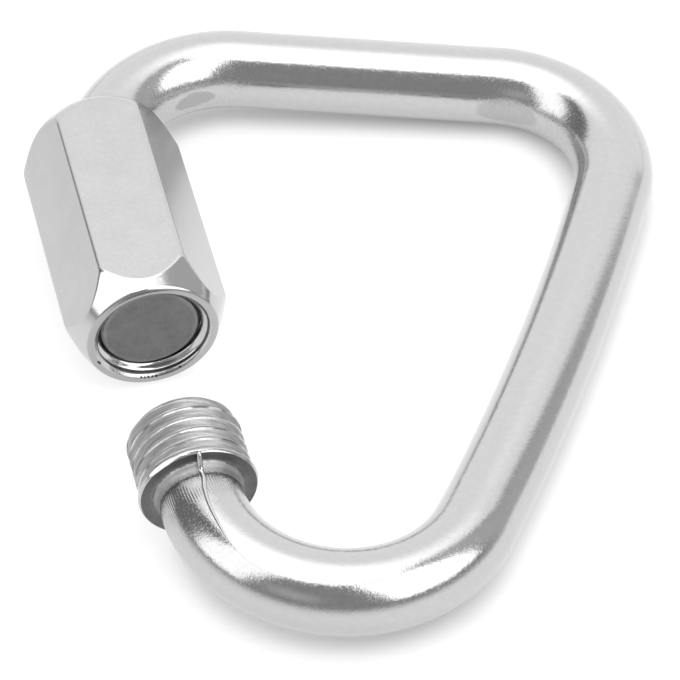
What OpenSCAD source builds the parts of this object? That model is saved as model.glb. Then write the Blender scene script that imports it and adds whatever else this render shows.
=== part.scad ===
// Delta quick link: a bent bar with a screw gate, shown open.
// The link lies in the XY plane, +Y from the pointed end to the base bar, +Z up.
// Origin: middle of the base bar's inner side, where a ring or strap bears.

/* [Bar] */
// Diameter of the bar
rod_d = 8; // [6:0.5:10]
// Straight stretch of the base bar
base_len = 26.5; // [22:0.5:32]
// Bend radius between the base bar and the gate, on the centreline
gate_corner_r = 13.3; // [11.5:0.1:16]
// Bend radius between the base bar and the plain leg, on the centreline
plain_corner_r = 12.4; // [11:0.1:16]
// Bend radius at the pointed end, on the centreline
apex_r = 13.4; // [11.5:0.1:16]
// Radius of the slight outward bow of the plain leg
leg_bow_r = 320; // [200:10:600]
// How much fuller the bar's radius is round a bend, where forming pushes the metal together
bend_swell = 0.05; // [0.03:0.01:0.1]

/* [Studs and gate] */
// Height of the thread's crests over the bar
stud_upset = 1.5; // [1.2:0.1:2]
// Length of each stud
stud_len = 7.8; // [6.6:0.2:9]
// Width of the chamfer at each stud's end
stud_chamfer_w = 0.6; // [0.3:0.1:1]
// Length of the chamfer at each stud's end
stud_chamfer_len = 0.9; // [0.4:0.1:1.5]
// Clear opening between the two stud ends
gate_opening = 13.8; // [8:0.2:16]
// How far the rim under the lower stud stands out past the thread
rim_flare = 0.25; // [0.15:0.05:0.4]
// Thickness of the rim at its edge
rim_edge = 0.5; // [0.3:0.1:1]
// Width of the fillet where the bar leaves a stud
root_fillet = 0.7; // [0.3:0.1:1]
// Bar between the rim and the bend at the pointed end
stub_root = 1.4; // [1:0.2:3]

/* [Sleeve] */
// Wall of the sleeve at the middle of a flat
sleeve_wall = 1.5; // [1.3:0.1:2.5]
// Length of the upper stud that the sleeve still holds when it is screwed shut
closed_grip = 6.2; // [4:0.2:6.4]
// Radial running clearance between the sleeve's bore and the studs
thread_clearance = 0.05; // [0.02:0.01:0.1]
// How far the upper stud sits inside the sleeve's mouth when open
mouth_recess = 1.2; // [0.6:0.1:2]
// How far the open sleeve reaches back over the bend
sleeve_overhang = 4.8; // [2:0.1:5]
// Width of the countersink at both ends of the bore
countersink = 0.5; // [0.3:0.1:0.6]
// Width of the ring-shaped faces at both ends
end_ring = 0.45; // [0.2:0.05:0.5]
// Half angle of the turned cone at the mouth, in degrees
mouth_cone = 25; // [20:1:40]
// Half angle of the turned cone at the back end, in degrees
back_cone = 36; // [20:1:40]
// Turn of the sleeve on its thread, in degrees
sleeve_turn = 3.4; // [-30:0.1:30]

/* [Hidden] */
$fn = 96;

rod_r = rod_d / 2;
stud_r = rod_r + stud_upset;
rim_r = stud_r + rim_flare;
bore_r = stud_r + thread_clearance;
sleeve_corner_r = (bore_r + sleeve_wall) / cos(30);
end_face_r = bore_r + countersink + end_ring;
sleeve_len = closed_grip + gate_opening + stud_len;
// How far solids run into each other, and cutters past a face
overlap = 0.4;

// Stations along the gate line, from the end of the bend at the base bar
upper_tip_at = sleeve_len - mouth_recess - sleeve_overhang;
lower_tip_at = upper_tip_at + gate_opening;
rim_at = lower_tip_at + stud_len;
gate_len = rim_at + stub_root;
mouth_at = upper_tip_at + mouth_recess;

// Lean of the gate line that brings the pointed bend onto the link's middle line
radius_step = gate_corner_r - apex_r;
gate_lean = asin(base_len / 2 / norm([gate_len, radius_step])) + atan2(radius_step, gate_len);
gate_dir = [sin(gate_lean), -cos(gate_lean)];
gate_out = [-cos(gate_lean), -sin(gate_lean)];

// Bend centres, and the start of the gate line
gate_corner = [-base_len / 2, rod_r - gate_corner_r];
plain_corner = [base_len / 2, rod_r - plain_corner_r];
gate_start = gate_corner + gate_corner_r * gate_out;
apex = gate_start + gate_len * gate_dir - apex_r * gate_out;

// Bowed leg: an arc that touches the plain corner's bend and the pointed bend from outside
corner_to_apex = apex - plain_corner;
along = corner_to_apex / norm(corner_to_apex);
across = [along.y, -along.x];
corner_reach = leg_bow_r - plain_corner_r;
apex_reach = leg_bow_r - apex_r;
bow_along = (corner_reach ^ 2 - apex_reach ^ 2 + norm(corner_to_apex) ^ 2) / (2 * norm(corner_to_apex));
bow_across = sqrt(corner_reach ^ 2 - bow_along ^ 2);
bow_centre = plain_corner + bow_along * along + bow_across * across;
bow_top = heading(plain_corner - bow_centre);
bow_foot = heading(apex - bow_centre);

function heading(v) = atan2(v.y, v.x);

// Places children on the gate line, their +Z towards the pointed end
module on_gate(station) {
    translate(gate_start + station * gate_dir)
        rotate([90, 0, gate_lean])
            children();
}

// Round bar along an arc, counterclockwise from one heading to another
module arc_bar(centre, radius, from, to, bar_r) {
    translate(centre)
        rotate(from)
            rotate_extrude(angle = to - from)
                translate([radius, 0])
                    circle(r = bar_r);
}

module bend(centre, radius, from, to) {
    arc_bar(centre, radius, from, to, rod_r + bend_swell);
}

// The plain stretches run a little way into the bends that they meet
module base_bar() {
    translate([-base_len / 2 - overlap, rod_r])
        rotate([0, 90, 0])
            cylinder(r = rod_r, h = base_len + 2 * overlap);
}

module gate_bar(from, to) {
    on_gate(from)
        cylinder(r = rod_r, h = to - from);
}

module bowed_leg() {
    overlap_angle = overlap / leg_bow_r * 180 / PI;
    arc_bar(bow_centre, leg_bow_r, bow_foot - overlap_angle, bow_top + overlap_angle, rod_r);
}

// Upset stud standing up from its root, with a fillet at the bar and a chamfered end
module stud() {
    rotate_extrude()
        polygon([
            [0, -root_fillet],
            [rod_r, -root_fillet],
            [rod_r + root_fillet, 0],
            [stud_r, 0],
            [stud_r, stud_len - stud_chamfer_len],
            [stud_r - stud_chamfer_w, stud_len],
            [0, stud_len]
        ]);
}

// Thin flared rim that the forging dies leave at the root of the lower stud
module rim() {
    rotate_extrude()
        polygon([
            [0, 0],
            [rim_r, 0],
            [rim_r, rim_edge],
            [0, rim_edge + rim_r]
        ]);
}

module link_body() {
    color("silver")
        union() {
            on_gate(upper_tip_at - stud_len)
                stud();
            gate_bar(-overlap, upper_tip_at - stud_len + overlap);
            bend(gate_corner, gate_corner_r, 90, 180 + gate_lean);
            base_bar();
            bend(plain_corner, plain_corner_r, bow_top, 90);
            bowed_leg();
            bend(apex, apex_r, gate_lean - 180, bow_foot);
            gate_bar(rim_at - overlap, gate_len + overlap);
            on_gate(rim_at)
                mirror([0, 0, 1]) {
                    stud();
                    rim();
                }
        }
}

// Solid of revolution that turns both ends of the sleeve to a cone
module turned_ends() {
    outer_r = sleeve_corner_r + overlap;
    cone_w = outer_r - end_face_r;
    rotate_extrude()
        polygon([
            [0, 0],
            [end_face_r, 0],
            [outer_r, cone_w / tan(back_cone)],
            [outer_r, sleeve_len - cone_w / tan(mouth_cone)],
            [end_face_r, sleeve_len],
            [0, sleeve_len]
        ]);
}

// Bore with a countersink at both ends
module sleeve_bore() {
    mouth_r = bore_r + countersink + overlap;
    rotate_extrude()
        polygon([
            [0, -overlap],
            [mouth_r, -overlap],
            [bore_r, countersink],
            [bore_r, sleeve_len - countersink],
            [mouth_r, sleeve_len + overlap],
            [0, sleeve_len + overlap]
        ]);
}

module hex_sleeve() {
    color("lightgray")
        on_gate(mouth_at - sleeve_len)
            rotate(sleeve_turn)
                difference() {
                    intersection() {
                        cylinder(r = sleeve_corner_r, h = sleeve_len, $fn = 6);
                        turned_ends();
                    }
                    sleeve_bore();
                }
}

link_body();
hex_sleeve();
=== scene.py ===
"""Delta quick link, open: polished bent bar, long satin hex sleeve, rolled threads, soft studio light."""
import math
from collections import namedtuple

import bmesh
import bpy
import numpy as np
from mathutils import Matrix, Vector


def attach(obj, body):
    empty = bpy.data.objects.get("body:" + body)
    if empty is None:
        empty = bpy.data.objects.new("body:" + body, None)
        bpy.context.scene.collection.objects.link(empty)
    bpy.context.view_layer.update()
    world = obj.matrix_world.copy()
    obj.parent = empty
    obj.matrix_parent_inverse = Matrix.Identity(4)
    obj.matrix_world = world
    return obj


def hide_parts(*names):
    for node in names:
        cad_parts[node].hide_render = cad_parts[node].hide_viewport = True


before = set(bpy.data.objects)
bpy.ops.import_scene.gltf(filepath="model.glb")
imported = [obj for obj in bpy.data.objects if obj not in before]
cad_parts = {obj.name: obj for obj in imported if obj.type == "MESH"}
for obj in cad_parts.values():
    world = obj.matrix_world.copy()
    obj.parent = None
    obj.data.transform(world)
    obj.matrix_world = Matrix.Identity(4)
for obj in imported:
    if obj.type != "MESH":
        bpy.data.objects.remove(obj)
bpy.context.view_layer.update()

MM = 0.001

# Sizes of the part in millimetres and degrees, as in its source
ROD_R = 4.0
BEND_SWELL = 0.05
BASE_LEN = 26.5
GATE_CORNER_R = 13.3
PLAIN_CORNER_R = 12.4
APEX_R = 13.4
LEG_BOW_R = 320.0
STUD_R = 5.5
STUD_LEN = 7.8
GATE_OPENING = 13.8
RIM_R = 5.75
STUB_ROOT = 1.4
SLEEVE_HALF_FLATS = 7.05
SLEEVE_LEN = 27.8
MOUTH_RECESS = 1.2
SLEEVE_OVERHANG = 4.8
END_FACE_R = 6.5
MOUTH_CONE = 25.0
BACK_CONE = 36.0
SLEEVE_TURN = 3.4

# Stations along the gate line, from the end of the bend at the base bar
UPPER_TIP = SLEEVE_LEN - MOUTH_RECESS - SLEEVE_OVERHANG
UPPER_ROOT = UPPER_TIP - STUD_LEN
LOWER_TIP = UPPER_TIP + GATE_OPENING
RIM_AT = LOWER_TIP + STUD_LEN
GATE_LEN = RIM_AT + STUB_ROOT
MOUTH_AT = UPPER_TIP + MOUTH_RECESS
BACK_AT = MOUTH_AT - SLEEVE_LEN

# Gate line and bend centres, worked out as the source does
RADIUS_STEP = GATE_CORNER_R - APEX_R
GATE_LEAN = (math.asin(BASE_LEN / 2 / math.hypot(GATE_LEN, RADIUS_STEP))
             + math.atan2(RADIUS_STEP, GATE_LEN))
GATE_DIR = np.array([math.sin(GATE_LEAN), -math.cos(GATE_LEAN), 0.0])
GATE_IN = np.array([math.cos(GATE_LEAN), math.sin(GATE_LEAN), 0.0])
UP = np.array([0.0, 0.0, 1.0])
GATE_CORNER = np.array([-BASE_LEN / 2, ROD_R - GATE_CORNER_R, 0.0])
PLAIN_CORNER = np.array([BASE_LEN / 2, ROD_R - PLAIN_CORNER_R, 0.0])
GATE_START = GATE_CORNER - GATE_CORNER_R * GATE_IN
APEX = GATE_START + GATE_LEN * GATE_DIR + APEX_R * GATE_IN

# Fineness of the meshes
BAR_SIDES = 112
PATH_STEP = 0.5

# Thread: one helix runs through both studs, and the sleeve's travel is a whole number of turns.
# HELIX is where in each pitch the crest passes the inside of the loop.
TRAVEL = 20.0
TRAVEL_TURNS = 15
PITCH = TRAVEL / TRAVEL_TURNS
HELIX = 0.96
THREAD_ROOT_R = 4.95
STUD_TIP_R = 4.75
BORE_CREST_R = 5.08
BORE_GROOVE_R = 5.62
COUNTERSINK_R = 5.86

# Camera and table, found from the outline of the object in the photograph
CAMERA_LENS = 183.0
CAMERA_SENSOR = 36.0
CAMERA_AZIMUTH = 3.818
CAMERA_ELEVATION = 47.570
CAMERA_ROLL = -1.294
CAMERA_DISTANCE = 336.1
CAMERA_TARGET = np.array([-1.104, -34.02, 0.0])
TABLE_TILT = 3.413

Part = namedtuple("Part", "points faces finish marks")


def heading(vector):
    return math.degrees(math.atan2(vector[1], vector[0]))


def unit(vectors):
    """One vector, or rows of them, at length 1."""
    return vectors / np.linalg.norm(vectors, axis=-1, keepdims=True)


def run_length(points):
    """Distance run along a polyline up to each of its points."""
    return np.concatenate([[0.0], np.cumsum(np.linalg.norm(np.diff(points, axis=0), axis=1))])


def on_gate(station, radius, angle):
    """Points about the gate line; angle in radians from the inside of the loop towards up."""
    station, radius, angle = np.broadcast_arrays(station, radius, angle)
    ring = np.cos(angle)[..., None] * GATE_IN + np.sin(angle)[..., None] * UP
    return GATE_START + station[..., None] * GATE_DIR + radius[..., None] * ring


def off_gate(points):
    """Distance of points from the gate line."""
    return np.linalg.norm(np.cross(points - GATE_START, GATE_DIR), axis=1)


def put(name, data):
    """A new object in the scene, at the origin."""
    thing = bpy.data.objects.new(name, data)
    bpy.context.collection.objects.link(thing)
    return thing


def linear(hex_colour):
    """An sRGB hex colour as linear red, green, blue and alpha."""
    shares = [int(hex_colour[i:i + 2], 16) / 255 for i in (1, 3, 5)]
    return tuple(c / 12.92 if c <= 0.04045 else ((c + 0.055) / 1.055) ** 2.4 for c in shares) + (1.0,)


def add(tree, kind, inputs=None, **settings):
    """Adds a node with its settings. Kinds that don't start with GeometryNode or NodeGroup are shader nodes.

    An input is a value, an output to link, or a node whose first output is linked.
    """
    node = tree.nodes.new(kind if kind.startswith(("GeometryNode", "NodeGroup")) else "ShaderNode" + kind)
    for name, value in settings.items():
        setattr(node, name, value)
    for name, value in (inputs or {}).items():
        if isinstance(value, bpy.types.Node):
            value = next(socket for socket in value.outputs if socket.enabled)
        if isinstance(value, bpy.types.NodeSocket):
            tree.links.new(value, node.inputs[name])
        else:
            node.inputs[name].default_value = value
    return node


# Finishes

def new_finish(name):
    finish = bpy.data.materials.new(name)
    finish.use_nodes = True
    finish.node_tree.nodes.clear()
    return finish, finish.node_tree


def close_finish(tree, tone, rough, relief):
    """Ends a finish: layers of relief as (height, strength, depth in millimetres) under one metal shader."""
    normal = (0.0, 0.0, 0.0)
    for height, strength, depth in relief:
        normal = add(tree, "Bump", {"Height": height, "Strength": strength, "Distance": depth * MM,
                                    "Normal": normal})
    shader = add(tree, "BsdfPrincipled", {"Metallic": 1.0, "Base Color": tone, "Roughness": rough,
                                          "Normal": normal})
    add(tree, "OutputMaterial", {"Surface": shader})


# Grip lines round the whole bar, and belt lines in each millimetre of its length
GRIP_LINES = 93
BELT_LINES_A_MM = 4.0


def polished_stainless_steel():
    """Buffed stainless bar: bright bands with a fine grain, faint belt lines, dull gripped roots."""
    finish, tree = new_finish("polished_stainless_steel")
    where = add(tree, "TexCoord").outputs["Object"]
    around = add(tree, "Attribute", attribute_name="round").outputs["Vector"]
    along, rooted, bent, pressed = (add(tree, "Attribute", attribute_name=name).outputs["Fac"]
                                    for name in ("along", "root", "crinkle", "pressed"))

    # Soft waves of the buffed skin, about 0.7 mm across
    peel = add(tree, "TexNoise", {"Vector": where, "Scale": 1500.0, "Detail": 2.0, "Roughness": 0.5})
    # Grain left by the tumbling, about 0.2 mm, deepest at the roots
    grit = add(tree, "TexNoise", {"Vector": where, "Scale": 5000.0, "Detail": 2.0, "Roughness": 0.6})
    gritty = add(tree, "MapRange", {"Value": rooted, "To Min": 0.48, "To Max": 1.0})
    # Belt lines across the bar, about 0.25 mm apart
    lift = add(tree, "Math", {0: along, 1: BELT_LINES_A_MM}, operation="MULTIPLY")
    lifted = add(tree, "CombineXYZ", {"Z": lift})
    belt_at = add(tree, "VectorMath", {0: around, 1: lifted}, operation="ADD")
    belt = add(tree, "TexNoise", {"Vector": belt_at, "Scale": 1.0, "Detail": 2.0, "Roughness": 0.6})
    # Lines that the heading machine's grip leaves along the bar next to the studs, in patches about 3 mm wide
    flat = add(tree, "SeparateXYZ", {0: around}).outputs
    angle = add(tree, "Math", {0: flat["Y"], 1: flat["X"]}, operation="ARCTAN2")
    turned = add(tree, "Math", {0: angle, 1: float(GRIP_LINES)}, operation="MULTIPLY")
    grip = add(tree, "Math", {0: turned}, operation="SINE")
    near = add(tree, "MapRange", {"Value": rooted, "From Min": 0.38, "From Max": 0.62},
               interpolation_type="SMOOTHSTEP")
    patches = add(tree, "TexNoise", {"Vector": where, "Scale": 330.0, "Detail": 1.0})
    bite = add(tree, "MapRange", {"Value": patches, "From Min": 0.42, "From Max": 0.58,
                                  "To Min": 0.15, "To Max": 1.0})
    gripped = add(tree, "Math", {0: near, 1: bite}, operation="MULTIPLY")
    # Crinkled skin where bending has squeezed the inside of a corner, about 0.4 mm
    crinkles = add(tree, "TexNoise", {"Vector": where, "Scale": 2600.0, "Detail": 2.0, "Roughness": 0.6})

    # Tarnish in specks next to the studs, where the buff doesn't reach, and in the grip lines
    specks = add(tree, "MapRange", {"Value": grit, "From Min": 0.35, "From Max": 0.62,
                                    "To Min": 0.32, "To Max": 0.0})
    speckled = add(tree, "Math", {0: rooted, 1: specks}, operation="MULTIPLY")
    grooves = add(tree, "MapRange", {"Value": grip, "From Min": 0.3, "From Max": -0.8,
                                     "To Min": 0.0, "To Max": 0.35})
    tarnish = add(tree, "Math", {0: gripped, 1: grooves, 2: speckled}, operation="MULTIPLY_ADD",
                  use_clamp=True)
    tone = add(tree, "Mix", {"Factor": peel, "A": linear("#B8B8B8"), "B": linear("#C0C0C0")},
               data_type="RGBA")
    for share, colour in ((tarnish, "#696969"), (pressed, "#9E9E9E")):
        tone = add(tree, "Mix", {"Factor": share, "A": tone, "B": linear(colour)}, data_type="RGBA")

    # Matt pits in the grain sparkle in the dark bands and dull the bright ones
    pits = add(tree, "MapRange", {"Value": grit, "From Min": 0.5, "From Max": 0.7,
                                  "To Min": 0.0, "To Max": 0.1})
    buffed = add(tree, "MapRange", {"Value": grit, "From Min": 0.3, "From Max": 0.7,
                                    "To Min": 0.09, "To Max": 0.17})
    rough = add(tree, "Math", {0: buffed, 1: pits}, operation="ADD")
    for share, more in ((rooted, 0.06), (bent, 0.08), (pressed, 0.15)):
        rough = add(tree, "Math", {0: share, 1: more, 2: rough}, operation="MULTIPLY_ADD")
    close_finish(tree, tone, rough, [(peel, 0.4, 0.02), (grit, gritty, 0.02), (belt, 0.15, 0.012),
                                     (grip, gripped, 0.009), (crinkles, bent, 0.018)])
    return finish


def rolled_thread_steel():
    """Rolled thread as it left the tool: even grey flanks with a fine tooth, crests rubbed bright."""
    finish, tree = new_finish("rolled_thread_steel")
    where = add(tree, "TexCoord").outputs["Object"]
    crest = add(tree, "Attribute", attribute_name="crest").outputs["Fac"]
    tooth = add(tree, "TexNoise", {"Vector": where, "Scale": 4200.0, "Detail": 4.0, "Roughness": 0.65})
    # Smears of the rolling dies run round the stud, each about 2 mm long and 0.1 mm wide
    rolled = add(tree, "Mapping", {"Vector": where, "Rotation": (0.0, 0.0, GATE_LEAN),
                                   "Scale": (1.0, 0.05, 1.0)}, vector_type="TEXTURE")
    smear = add(tree, "TexNoise", {"Vector": rolled, "Scale": 520.0, "Detail": 3.0, "Roughness": 0.6})
    # Crests are rubbed bright in stretches of about 2 mm and folded over darkly between them
    stretches = add(tree, "TexNoise", {"Vector": where, "Scale": 420.0, "Detail": 2.0})
    rubbed = add(tree, "MapRange", {"Value": stretches, "From Min": 0.38, "From Max": 0.54})
    bright = add(tree, "Math", {0: crest, 1: rubbed}, operation="MULTIPLY")
    smeared = add(tree, "MapRange", {"Value": smear, "From Min": 0.30, "From Max": 0.70})
    flank = add(tree, "Mix", {"Factor": smeared, "A": linear("#8C8C8C"), "B": linear("#BCBCBC")},
                data_type="RGBA")
    ridge = add(tree, "Mix", {"Factor": rubbed, "A": linear("#6A6A6A"), "B": linear("#D8D8D8")},
                data_type="RGBA")
    tone = add(tree, "Mix", {"Factor": crest, "A": flank, "B": ridge}, data_type="RGBA")
    matt = add(tree, "MapRange", {"Value": tooth, "To Min": 0.40, "To Max": 0.58})
    rough = add(tree, "Mix", {"Factor": bright, "A": matt, "B": 0.18}, data_type="FLOAT")
    close_finish(tree, tone, rough, [(smear, 0.7, 0.02), (tooth, 0.8, 0.03)])
    return finish


def forged_steel_skin():
    """Unpolished ends and the rim's underside: dark grey, finely grained forging skin, paler where rubbed."""
    finish, tree = new_finish("forged_steel_skin")
    where = add(tree, "TexCoord").outputs["Object"]
    worn = add(tree, "Attribute", attribute_name="worn").outputs["Fac"]
    grain = add(tree, "TexNoise", {"Vector": where, "Scale": 5200.0, "Detail": 3.0, "Roughness": 0.7})
    cloud = add(tree, "TexNoise", {"Vector": where, "Scale": 700.0, "Detail": 4.0, "Roughness": 0.65})
    half = add(tree, "Math", {0: cloud, 1: 0.5}, operation="MULTIPLY")
    grainy = add(tree, "Math", {0: grain, 1: 0.5, 2: half}, operation="MULTIPLY_ADD")
    mottle = add(tree, "MapRange", {"Value": grainy, "From Min": 0.25, "From Max": 0.75})
    skin = add(tree, "Mix", {"Factor": mottle, "A": linear("#646464"), "B": linear("#888888")},
               data_type="RGBA")
    rubbed = add(tree, "Math", {0: worn, 1: cloud}, operation="MULTIPLY")
    tone = add(tree, "Mix", {"Factor": rubbed, "A": skin, "B": linear("#C8C8C8")}, data_type="RGBA")
    rough = add(tree, "MapRange", {"Value": grain, "To Min": 0.42, "To Max": 0.60})
    close_finish(tree, tone, rough, [(grain, 0.8, 0.04)])
    return finish


def satin_drawn_steel():
    """Drawn and tumbled hex bar: even satin flats with faint lengthwise draw lines and a fine grain."""
    finish, tree = new_finish("satin_drawn_steel")
    where = add(tree, "TexCoord").outputs["Object"]
    lengthwise = add(tree, "Mapping", {"Vector": where, "Rotation": (0.0, 0.0, GATE_LEAN),
                                       "Scale": (1.0, 25.0, 1.0)}, vector_type="TEXTURE")
    drawn = add(tree, "TexNoise", {"Vector": lengthwise, "Scale": 4000.0, "Detail": 2.0})
    skin = add(tree, "TexNoise", {"Vector": where, "Scale": 2600.0, "Detail": 4.0, "Roughness": 0.65})
    cloud = add(tree, "TexNoise", {"Vector": where, "Scale": 260.0, "Detail": 3.0})
    half = add(tree, "Math", {0: cloud, 1: 0.5}, operation="MULTIPLY")
    mottle = add(tree, "Math", {0: skin, 1: 0.5, 2: half}, operation="MULTIPLY_ADD")
    patchy = add(tree, "MapRange", {"Value": mottle, "From Min": 0.38, "From Max": 0.62})
    tone = add(tree, "Mix", {"Factor": patchy, "A": linear("#B6B6B6"), "B": linear("#BCBCBC")},
               data_type="RGBA")
    rough = add(tree, "MapRange", {"Value": skin, "To Min": 0.19, "To Max": 0.25})
    close_finish(tree, tone, rough, [(drawn, 0.15, 0.01), (skin, 0.10, 0.02)])
    return finish


# Small dings at the sleeve's mouth, painted as dark spots of shade: angle about the gate line in degrees,
# radius and size in millimetres
DING_SHADES = [(204.0, 5.92, 0.18), (206.5, 5.88, 0.18), (258.5, 5.76, 0.14), (262.0, 5.78, 0.13),
         (265.5, 5.75, 0.14), (269.5, 5.77, 0.13), (273.5, 5.79, 0.16), (298.5, 5.72, 0.15)]


def turned_bright_steel():
    """Turned ends of the sleeve: bright cones with lathe rings, grey faced rings, dings' painted shade at the
    mouth.
    """
    finish, tree = new_finish("turned_bright_steel")
    where = add(tree, "TexCoord").outputs["Object"]
    lathe, faced = (add(tree, "Attribute", attribute_name=name).outputs["Fac"] for name in ("lathe", "faced"))
    ding_shade = 0.0
    for degrees, radius, size in DING_SHADES:
        step = max(0.0, COUNTERSINK_R - radius)
        centre = tuple(on_gate(MOUTH_AT - step, radius, math.radians(degrees)) * MM)
        away = add(tree, "VectorMath", {0: where, 1: centre}, operation="DISTANCE")
        deep = add(tree, "MapRange", {"Value": away, "From Min": 0.5 * size * MM, "From Max": size * MM,
                                      "To Min": 1.0, "To Max": 0.0})
        ding_shade = add(tree, "Math", {0: ding_shade, 1: deep}, operation="MAXIMUM")
    rings = add(tree, "TexNoise", {"W": lathe, "Scale": 9.0, "Detail": 2.0}, noise_dimensions="1D")
    skin = add(tree, "TexNoise", {"Vector": where, "Scale": 3800.0, "Detail": 3.0})
    steel = add(tree, "Mix", {"Factor": faced, "A": linear("#BDBDBD"), "B": linear("#ABABAB")},
                data_type="RGBA")
    # Painted shade: the steel goes near black where each ding sits
    tone = add(tree, "Mix", {"Factor": ding_shade, "A": steel, "B": linear("#1B1B1B")}, data_type="RGBA")
    bright = add(tree, "MapRange", {"Value": skin, "To Min": 0.08, "To Max": 0.15})
    rough = add(tree, "Math", {0: faced, 1: 0.12, 2: bright}, operation="MULTIPLY_ADD")
    close_finish(tree, tone, rough, [(rings, 0.3, 0.02), (skin, 0.25, 0.02)])
    return finish


# Geometry Nodes

def new_tree(name, inputs):
    """A Geometry Nodes group with one mesh output; inputs lists the labels of each kind of socket."""
    tree = bpy.data.node_groups.new(name, "GeometryNodeTree")
    for kind, labels in inputs:
        for label in labels:
            tree.interface.new_socket(label, in_out="INPUT", socket_type="NodeSocket" + kind)
    tree.interface.new_socket("Piece", in_out="OUTPUT", socket_type="NodeSocketGeometry")
    return tree, add(tree, "NodeGroupInput").outputs


def close_tree(tree, mesh, finish):
    """Ends a group: smooth faces, real geometry, one finish."""
    smooth = add(tree, "GeometryNodeSetShadeSmooth", {"Geometry": mesh})
    real = add(tree, "GeometryNodeRealizeInstances", {"Geometry": smooth})
    painted = add(tree, "GeometryNodeSetMaterial", {"Geometry": real, "Material": finish})
    add(tree, "NodeGroupOutput", {"Piece": painted})


def sweep_tree():
    """Sweeps a round section along the path; each path point carries its thickness."""
    tree, given = new_tree("sweep_along_path", [
        ("Geometry", ["Path"]), ("Int", ["Sides"]), ("Bool", ["Closed ends"]), ("Material", ["Finish"])])
    curve = add(tree, "GeometryNodeMeshToCurve", {"Mesh": given["Path"]})
    level = add(tree, "GeometryNodeSetCurveNormal", {"Curve": curve}, mode="Z_UP")
    circle = add(tree, "GeometryNodeCurvePrimitiveCircle", {"Resolution": given["Sides"], "Radius": 1.0})
    spot = add(tree, "GeometryNodeInputPosition")
    around = add(tree, "GeometryNodeStoreNamedAttribute", {
        "Geometry": circle, "Name": "round", "Value": spot}, data_type="FLOAT_VECTOR", domain="POINT")
    thickness = add(tree, "GeometryNodeInputNamedAttribute", {"Name": "thickness"}, data_type="FLOAT")
    swept = add(tree, "GeometryNodeCurveToMesh", {"Curve": level, "Profile Curve": around, "Scale": thickness,
                                                  "Fill Caps": given["Closed ends"]})
    close_tree(tree, swept, given["Finish"])
    return tree


# Soft edge of the crest's mark as a share of the pitch, and how close points lie that are one, in millimetres
CREST_MARK_WIDTH = 0.06
MERGE_WITHIN = 0.002


def thread_tree():
    """A screw thread as one sheet whose rows follow the helix, cut off level at both ends."""
    tree, given = new_tree("screw_thread", [
        ("Geometry", ["Start"]), ("Int", ["Points around", "Points along"]),
        ("Float", ["Turns", "Pitch", "Length", "Phase", "Crest radius", "Root radius", "Crest half",
                   "Flank end", "Start radius", "Start length", "End radius", "End length"]),
        ("Material", ["Finish"])])
    grid = add(tree, "GeometryNodeMeshGrid", {
        "Size X": 1.0, "Size Y": 1.0,
        "Vertices X": given["Points around"], "Vertices Y": given["Points along"]})
    spot = add(tree, "SeparateXYZ", {0: grid.outputs["UV Map"]}).outputs

    # Height of each point: a row climbs one pitch on its way round
    turn = add(tree, "Math", {0: spot["Y"], 1: given["Turns"]}, operation="MULTIPLY")
    ahead = add(tree, "Math", {0: turn, 1: spot["X"]}, operation="ADD")
    from_start = add(tree, "Math", {0: ahead, 1: 1.0}, operation="SUBTRACT")
    climb = add(tree, "Math", {0: from_start, 1: given["Pitch"]}, operation="MULTIPLY")
    along = add(tree, "Clamp", {"Value": climb, "Min": 0.0, "Max": given["Length"]})

    # Radius: crest, flank and root, running out to a plain circle at both ends
    phased = add(tree, "Math", {0: turn, 1: given["Phase"]}, operation="ADD")
    from_crest = add(tree, "Math", {0: phased, 1: 0.5}, operation="PINGPONG")
    profile = add(tree, "MapRange", {
        "Value": from_crest, "From Min": given["Crest half"], "From Max": given["Flank end"],
        "To Min": given["Crest radius"], "To Max": given["Root radius"]})
    started = add(tree, "MapRange", {"Value": along, "From Max": given["Start length"]})
    begun = add(tree, "Mix", {"Factor": started, "A": given["Start radius"], "B": profile}, data_type="FLOAT")
    run_out = add(tree, "Math", {0: given["Length"], 1: given["End length"]}, operation="SUBTRACT")
    ended = add(tree, "MapRange", {"Value": along, "From Min": run_out, "From Max": given["Length"]})
    radius = add(tree, "Mix", {"Factor": ended, "A": begun, "B": given["End radius"]}, data_type="FLOAT")

    level = add(tree, "CombineXYZ", {"X": radius, "Z": along})
    angle = add(tree, "Math", {0: spot["X"], 1: 2 * math.pi}, operation="MULTIPLY")
    place = add(tree, "VectorRotate", {"Vector": level, "Angle": angle}, rotation_type="Z_AXIS")
    ridge_end = add(tree, "Math", {0: given["Crest half"], 1: CREST_MARK_WIDTH}, operation="ADD")
    ridge = add(tree, "MapRange", {"Value": from_crest, "From Min": given["Crest half"],
                                   "From Max": ridge_end, "To Min": 1.0, "To Max": 0.0})
    marked = add(tree, "GeometryNodeStoreNamedAttribute", {
        "Geometry": grid, "Name": "crest", "Value": ridge}, data_type="FLOAT", domain="POINT")
    moved = add(tree, "GeometryNodeSetPosition", {"Geometry": marked, "Position": place})
    closed = add(tree, "GeometryNodeMergeByDistance", {"Geometry": moved, "Distance": MERGE_WITHIN * MM})
    close_tree(tree, closed, given["Finish"])
    return tree


def grown(tree, start, values):
    """Runs a group on a start mesh, with its inputs set by name, and returns the plain mesh that it makes."""
    stand = put("stand", start)
    modifier = stand.modifiers.new("grow", "NODES")
    modifier.node_group = tree
    sockets = {item.name: item.identifier for item in tree.interface.items_tree if item.in_out == "INPUT"}
    for label, value in values.items():
        modifier[sockets[label]] = value
    graph = bpy.context.evaluated_depsgraph_get()
    made = bpy.data.meshes.new_from_object(stand.evaluated_get(graph), preserve_all_data_layers=True,
                                           depsgraph=graph)
    stand.modifiers.remove(modifier)
    bpy.data.objects.remove(stand)
    return made


# Meshes and their marks, which are values of one or three numbers at every vertex

MARK_KINDS = {1: ("FLOAT", "value"), 3: ("FLOAT_VECTOR", "vector")}


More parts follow.
